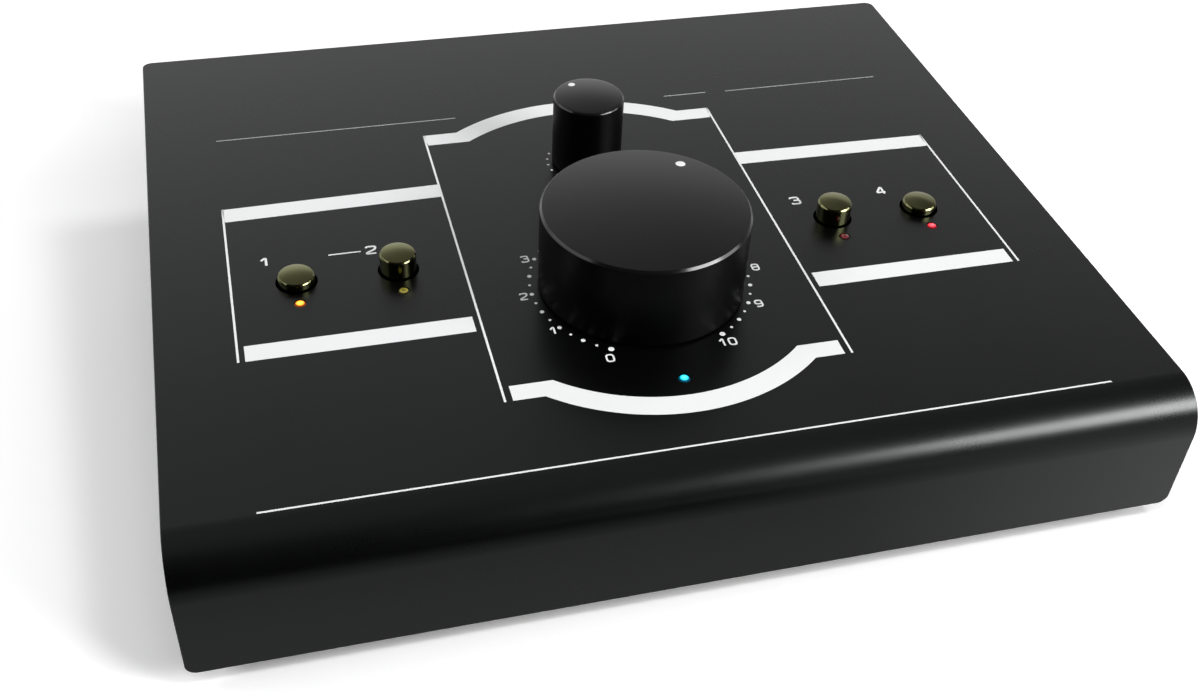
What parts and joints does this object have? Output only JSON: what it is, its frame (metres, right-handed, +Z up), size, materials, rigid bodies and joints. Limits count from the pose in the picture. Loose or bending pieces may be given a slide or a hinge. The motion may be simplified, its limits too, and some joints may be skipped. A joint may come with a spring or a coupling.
{
  "type": "studio monitor controller",
  "caption": "Desktop monitor controller with a sloped black steel top, a large volume knob, a small headphone knob, push buttons, lamps and rear sockets.",
  "frame": {"origin": "middle of the footprint, on the table that the feet stand on", "axes": "+Z up, +X to the right as seen from the front, +Y to the back; the panel slopes up to the back by 10 degrees"},
  "size_m": [0.215, 0.1802, 0.0744],
  "materials": {
    "cover_black": "satin fine-texture powder coat",
    "knob_black": "black anodised, satin",
    "cap_smoke": "smoked black chrome, glossy",
    "steel": "plain",
    "zinc_black": "black zinc",
    "rubber": "matt",
    "socket_black": "moulded",
    "board_green": "solder resist",
    "plastic_white": "moulded",
    "ribbon_grey": "flat cable",
    "lamp_amber_lit": "lit lens",
    "lamp_amber_dark": "unlit lens",
    "lamp_red_dark": "unlit lens",
    "lamp_red_lit": "lit lens",
    "lamp_blue_lit": "lit lens"
  },
  "bodies": {
    "case": {"top_cover": "cover_black", "chassis_tray": "cover_black", "left_rail": "steel", "right_rail": "steel", "side_screw_1": "zinc_black", "side_screw_2": "zinc_black", "side_screw_3": "zinc_black", "side_screw_4": "zinc_black", "foot_1": "rubber", "foot_2": "rubber", "foot_3": "rubber", "foot_4": "rubber", "volume_pot": "steel", "volume_nut": "steel", "phones_pot": "steel", "phones_nut": "steel", "button_spring_1": "steel", "button_spring_2": "steel", "button_spring_3": "steel", "button_spring_4": "steel", "switch_body_1": "plastic_white", "switch_body_2": "plastic_white", "switch_body_3": "plastic_white", "switch_body_4": "plastic_white", "lamp_1": "lamp_amber_lit", "lamp_2": "lamp_amber_dark", "lamp_3": "lamp_red_dark", "lamp_4": "lamp_red_lit", "lamp_5": "lamp_blue_lit", "control_board": "board_green", "main_board": "board_green", "board_post_1": "plastic_white", "board_post_2": "plastic_white", "board_post_3": "plastic_white", "board_post_4": "plastic_white", "input_socket": "steel", "output_socket": "steel", "left_jack": "socket_black", "right_jack": "socket_black", "headphone_jack": "socket_black", "left_jack_nut": "steel", "right_jack_nut": "steel", "headphone_jack_nut": "steel", "power_inlet": "socket_black", "rocker_housing": "socket_black", "ribbon_cable": "ribbon_grey", "main_capacitor": "socket_black"},
    "volume_control": {"volume_knob": "knob_black", "volume_shaft": "steel"},
    "phones_control": {"phones_knob": "knob_black", "phones_shaft": "steel"},
    "button_1": {"button_cap_1": "cap_smoke", "button_stem_1": "plastic_white"},
    "button_2": {"button_cap_2": "cap_smoke", "button_stem_2": "plastic_white"},
    "button_3": {"button_cap_3": "cap_smoke", "button_stem_3": "plastic_white"},
    "button_4": {"button_cap_4": "cap_smoke", "button_stem_4": "plastic_white"},
    "power_switch": {"power_rocker": "socket_black"}
  },
  "joints": [
    {"name": "volume_turn", "type": "hinge", "parent": "case", "child": "volume_control", "pos_m": [0, -0.02862, 0.04536], "axis": [0, -0.1736, 0.9848], "range_deg": [-110, 190]},
    {"name": "phones_turn", "type": "hinge", "parent": "case", "child": "phones_control", "pos_m": [0, 0.02141, 0.05419], "axis": [0, -0.1736, 0.9848], "range_deg": [-178, 122]},
    {"name": "button_1_press", "type": "slide", "parent": "case", "child": "button_1", "axis": [0, -0.1736, 0.9848], "range_m": [-0.0005, 0.00275], "deforming": ["button_spring_1"]},
    {"name": "button_2_press", "type": "slide", "parent": "case", "child": "button_2", "axis": [0, -0.1736, 0.9848], "range_m": [-0.00325, 0], "stiffness_N_per_m": 300, "springref_m": 0.002, "deforming": ["button_spring_2"]},
    {"name": "button_3_press", "type": "slide", "parent": "case", "child": "button_3", "axis": [0, -0.1736, 0.9848], "range_m": [-0.00325, 0], "stiffness_N_per_m": 300, "springref_m": 0.002, "deforming": ["button_spring_3"]},
    {"name": "button_4_press", "type": "slide", "parent": "case", "child": "button_4", "axis": [0, -0.1736, 0.9848], "range_m": [-0.0005, 0.00275], "deforming": ["button_spring_4"]},
    {"name": "power_rock", "type": "hinge", "parent": "case", "child": "power_switch", "pos_m": [-0.0905, 0.0799, 0.03], "axis": [1, 0, 0], "range_deg": [-18, 0]}
  ]
}
